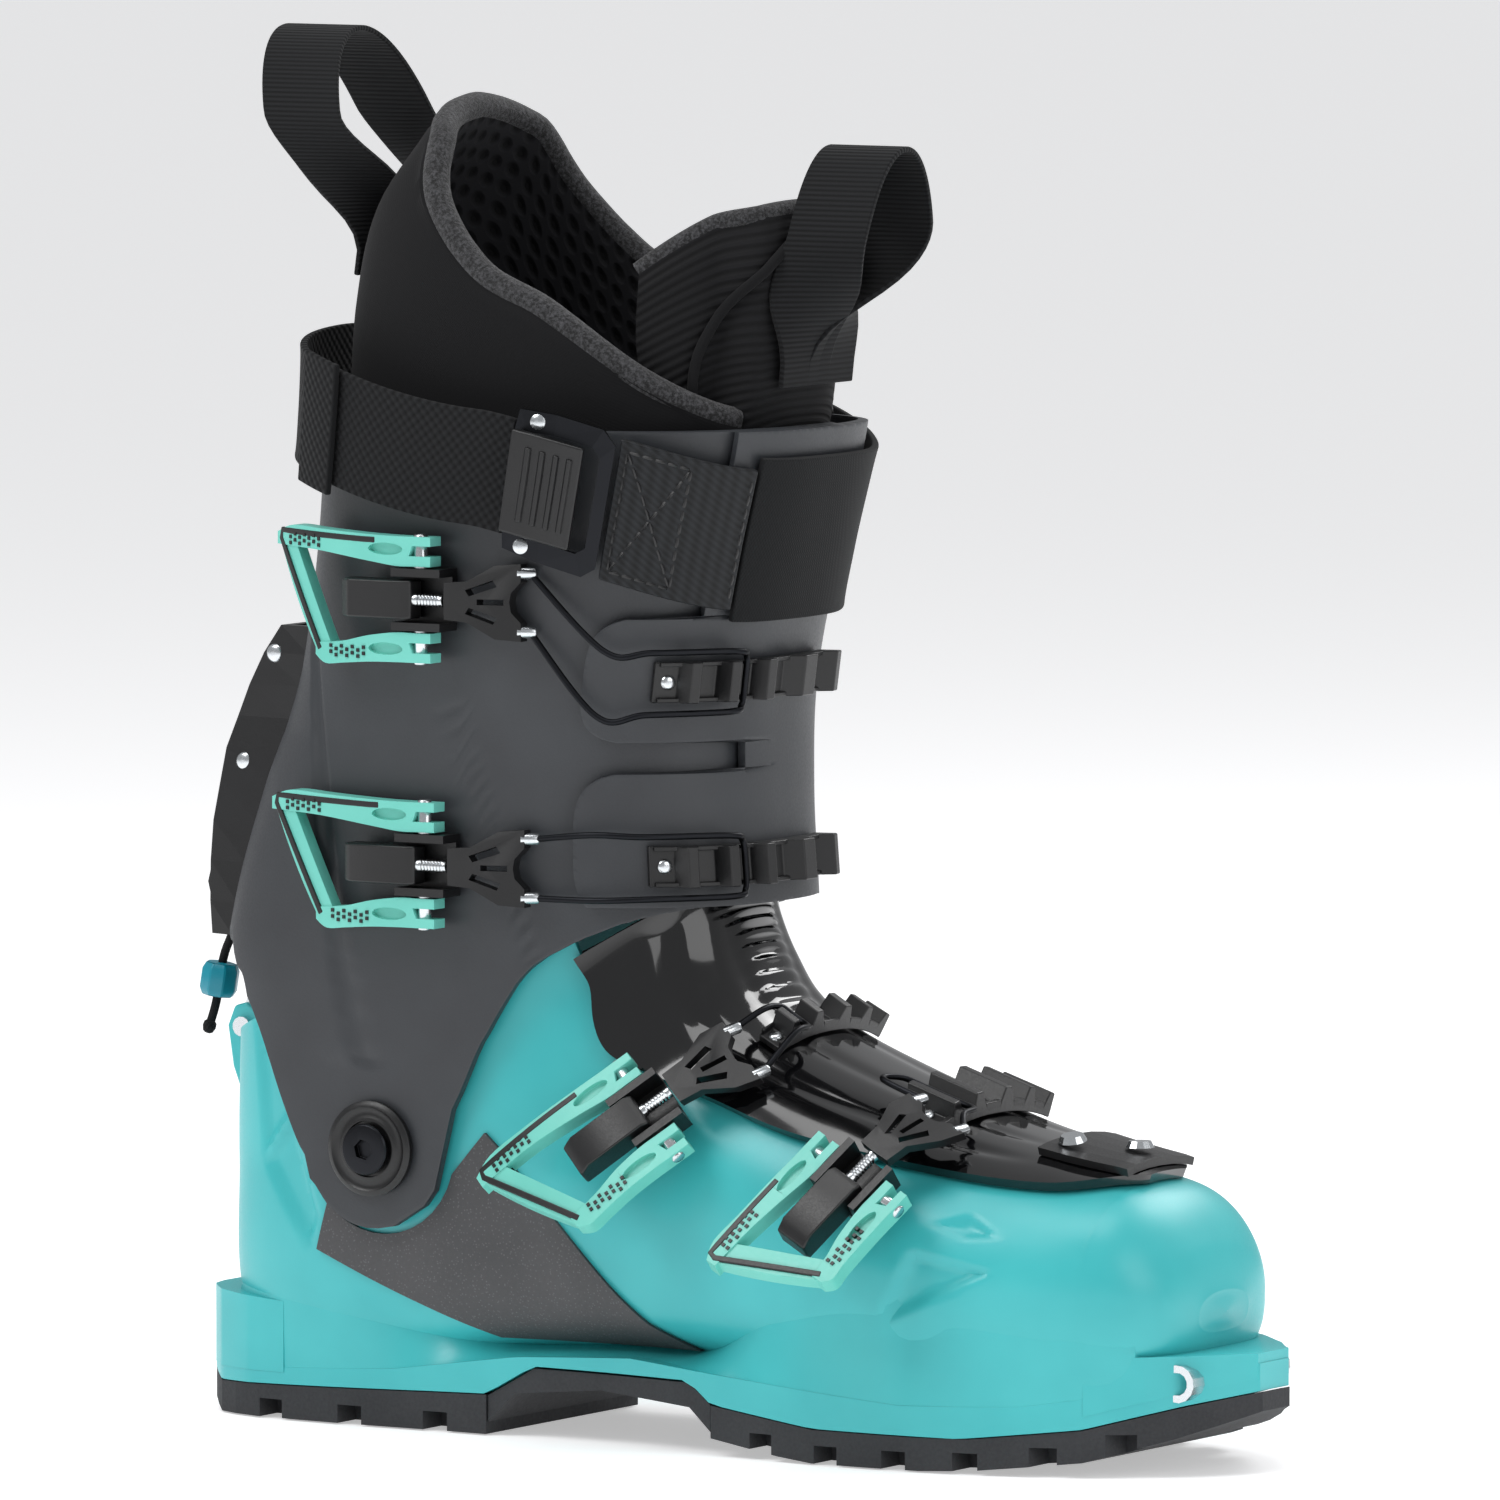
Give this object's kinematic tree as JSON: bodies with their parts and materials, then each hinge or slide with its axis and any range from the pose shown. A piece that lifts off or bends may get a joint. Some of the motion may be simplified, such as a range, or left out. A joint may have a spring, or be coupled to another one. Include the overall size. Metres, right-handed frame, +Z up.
{
  "type": "alpine touring boot",
  "caption": "Right alpine touring boot: hollow plastic shell, turning cuff with walk lever, toggle buckles, power strap and padded inner boot.",
  "frame": {"origin": "on the flat of the heel tread, straight below the ankle axis", "axes": "+X towards the toe, +Y towards the inner side of the foot, +Z up"},
  "size_m": [0.3029, 0.1279, 0.3436],
  "materials": {
    "shell_plastic": "satin moulded polyamide, turquoise",
    "carbon_frame": "carbon filled frame, speckled dark grey",
    "rubber": "charcoal lugged rubber",
    "steel": "bright hardened steel",
    "tongue_plastic": "high gloss black",
    "black_nylon": "satin black nylon",
    "barrel_block": "satin dark grey nylon",
    "cuff_plastic": "fine grained dark grey polyamide",
    "alloy": "dark anodised aluminium",
    "cam_plastic": "gloss black nylon",
    "lever_plastic": "satin mint painted alloy look",
    "wire": "black coated steel wire rope",
    "inner_boot_fabric": "black neoprene like fabric",
    "tongue_fabric": "black ribbed fabric",
    "footbed_foam": "grey foam with a cloth face",
    "webbing": "black woven webbing",
    "elastic": "black woven elastic",
    "strap_leather": "black twill embossed leatherette",
    "cord": "black braided cord",
    "bead_plastic": "blue green moulded plastic"
  },
  "bodies": {
    "shell": {"shell_lower": "shell_plastic", "frame_panel_outer": "carbon_frame", "frame_panel_inner": "carbon_frame", "outsole_heel": "rubber", "outsole_waist": "rubber", "outsole_toe": "rubber", "toe_insert": "steel", "heel_insert": "steel", "heel_pin": "steel", "hinge_screw_1": "steel", "hinge_screw_2": "steel", "ankle_bolt_outer": "steel", "ankle_bolt_inner": "steel", "shell_tongue": "tongue_plastic", "tongue_hinge_plate": "black_nylon", "ankle_disc_outer": "black_nylon", "ankle_disc_inner": "black_nylon", "instep_buckle_bracket": "black_nylon", "instep_buckle_rack": "black_nylon", "toe_buckle_bracket": "black_nylon", "toe_buckle_rack": "black_nylon", "liner_foot": "inner_boot_fabric", "footbed": "footbed_foam"},
    "cuff": {"cuff": "cuff_plastic", "spine_housing": "black_nylon", "liner_leg": "inner_boot_fabric", "liner_tongue": "tongue_fabric", "strap_webbing": "webbing", "strap_keeper": "webbing", "strap_band": "elastic", "strap_tab": "strap_leather", "cam_frame": "alloy", "pull_loop_rear": "webbing", "pull_loop_front": "webbing", "upper_buckle_bracket": "black_nylon", "upper_buckle_rack": "black_nylon", "lower_buckle_bracket": "black_nylon", "lower_buckle_rack": "black_nylon"},
    "lean_bar": {"lean_bar": "alloy"},
    "walk_lever": {"walk_lever": "black_nylon", "release_cord": "cord", "cord_bead": "bead_plastic", "cord_end": "cord"},
    "cam_lever": {"cam_lever": "cam_plastic"},
    "upper_buckle_lever": {"upper_buckle_lever": "lever_plastic"},
    "upper_buckle_link": {"upper_buckle_barrel": "barrel_block", "upper_buckle_yoke": "black_nylon", "upper_buckle_cable": "wire"},
    "lower_buckle_lever": {"lower_buckle_lever": "lever_plastic"},
    "lower_buckle_link": {"lower_buckle_barrel": "barrel_block", "lower_buckle_yoke": "black_nylon", "lower_buckle_cable": "wire"},
    "instep_buckle_lever": {"instep_buckle_lever": "lever_plastic"},
    "instep_buckle_link": {"instep_buckle_barrel": "barrel_block", "instep_buckle_yoke": "black_nylon", "instep_buckle_cable": "wire"},
    "toe_buckle_lever": {"toe_buckle_lever": "lever_plastic"},
    "toe_buckle_link": {"toe_buckle_barrel": "barrel_block", "toe_buckle_yoke": "black_nylon", "toe_buckle_cable": "wire"}
  },
  "joints": [
    {"name": "cuff_flex", "type": "hinge", "parent": "shell", "child": "cuff", "pos_m": [0, 0, 0.07], "axis": [0, 1, 0], "range_deg": [-22, 11], "deforming": ["liner_leg"]},
    {"name": "lean_bar_swing", "type": "hinge", "parent": "shell", "child": "lean_bar", "pos_m": [-0.0605, 0, 0.094], "axis": [0, 1, 0], "range_deg": [-37, 19], "deforming": ["liner_leg"]},
    {"name": "walk_lever_turn", "type": "hinge", "parent": "cuff", "child": "walk_lever", "pos_m": [-0.0665, 0, 0.148], "axis": [0, 1, 0], "range_deg": [0, 50]},
    {"name": "cam_lever_turn", "type": "hinge", "parent": "cuff", "child": "cam_lever", "pos_m": [0.04878, -0.05992, 0.23633], "axis": [-0.1699, 0.0193, -0.9853], "range_deg": [0, 70]},
    {"name": "upper_buckle_open", "type": "hinge", "parent": "cuff", "child": "upper_buckle_lever", "pos_m": [0.019, -0.05403, 0.206], "axis": [0, 0, 1], "range_deg": [0, 115], "deforming": ["upper_buckle_cable"]},
    {"name": "upper_buckle_link_turn", "type": "hinge", "parent": "upper_buckle_lever", "child": "upper_buckle_link", "pos_m": [0.001, -0.05403, 0.206], "axis": [0, 0, 1], "range_deg": [-116, 0]},
    {"name": "lower_buckle_open", "type": "hinge", "parent": "cuff", "child": "lower_buckle_lever", "pos_m": [0.019, -0.0525, 0.141], "axis": [0, 0, 1], "range_deg": [0, 115], "deforming": ["lower_buckle_cable"]},
    {"name": "lower_buckle_link_turn", "type": "hinge", "parent": "lower_buckle_lever", "child": "lower_buckle_link", "pos_m": [0.001, -0.0525, 0.141], "axis": [0, 0, 1], "range_deg": [-116, 0]},
    {"name": "instep_buckle_open", "type": "hinge", "parent": "shell", "child": "instep_buckle_lever", "pos_m": [0.08086, -0.04978, 0.08372], "axis": [-0.7066, 0.2294, 0.6694], "range_deg": [0, 115], "deforming": ["instep_buckle_cable"]},
    {"name": "instep_buckle_link_turn", "type": "hinge", "parent": "instep_buckle_lever", "child": "instep_buckle_link", "pos_m": [0.06839, -0.05726, 0.07311], "axis": [-0.7066, 0.2294, 0.6694], "range_deg": [-116, 0]},
    {"name": "toe_buckle_open", "type": "hinge", "parent": "shell", "child": "toe_buckle_lever", "pos_m": [0.14003, -0.0513, 0.07045], "axis": [-0.8823, 0.1358, 0.4508], "range_deg": [0, 115], "deforming": ["toe_buckle_cable"]},
    {"name": "toe_buckle_link_turn", "type": "hinge", "parent": "toe_buckle_lever", "child": "toe_buckle_link", "pos_m": [0.13213, -0.06182, 0.05817], "axis": [-0.8823, 0.1358, 0.4508], "range_deg": [-116, 0]}
  ],
  "couplings": [
    {"joint": "lean_bar_swing", "follows": "cuff_flex", "ratio": 1.65},
    {"joint": "upper_buckle_link_turn", "follows": "upper_buckle_open", "ratio": -1},
    {"joint": "lower_buckle_link_turn", "follows": "lower_buckle_open", "ratio": -1},
    {"joint": "instep_buckle_link_turn", "follows": "instep_buckle_open", "ratio": -1},
    {"joint": "toe_buckle_link_turn", "follows": "toe_buckle_open", "ratio": -1}
  ]
}
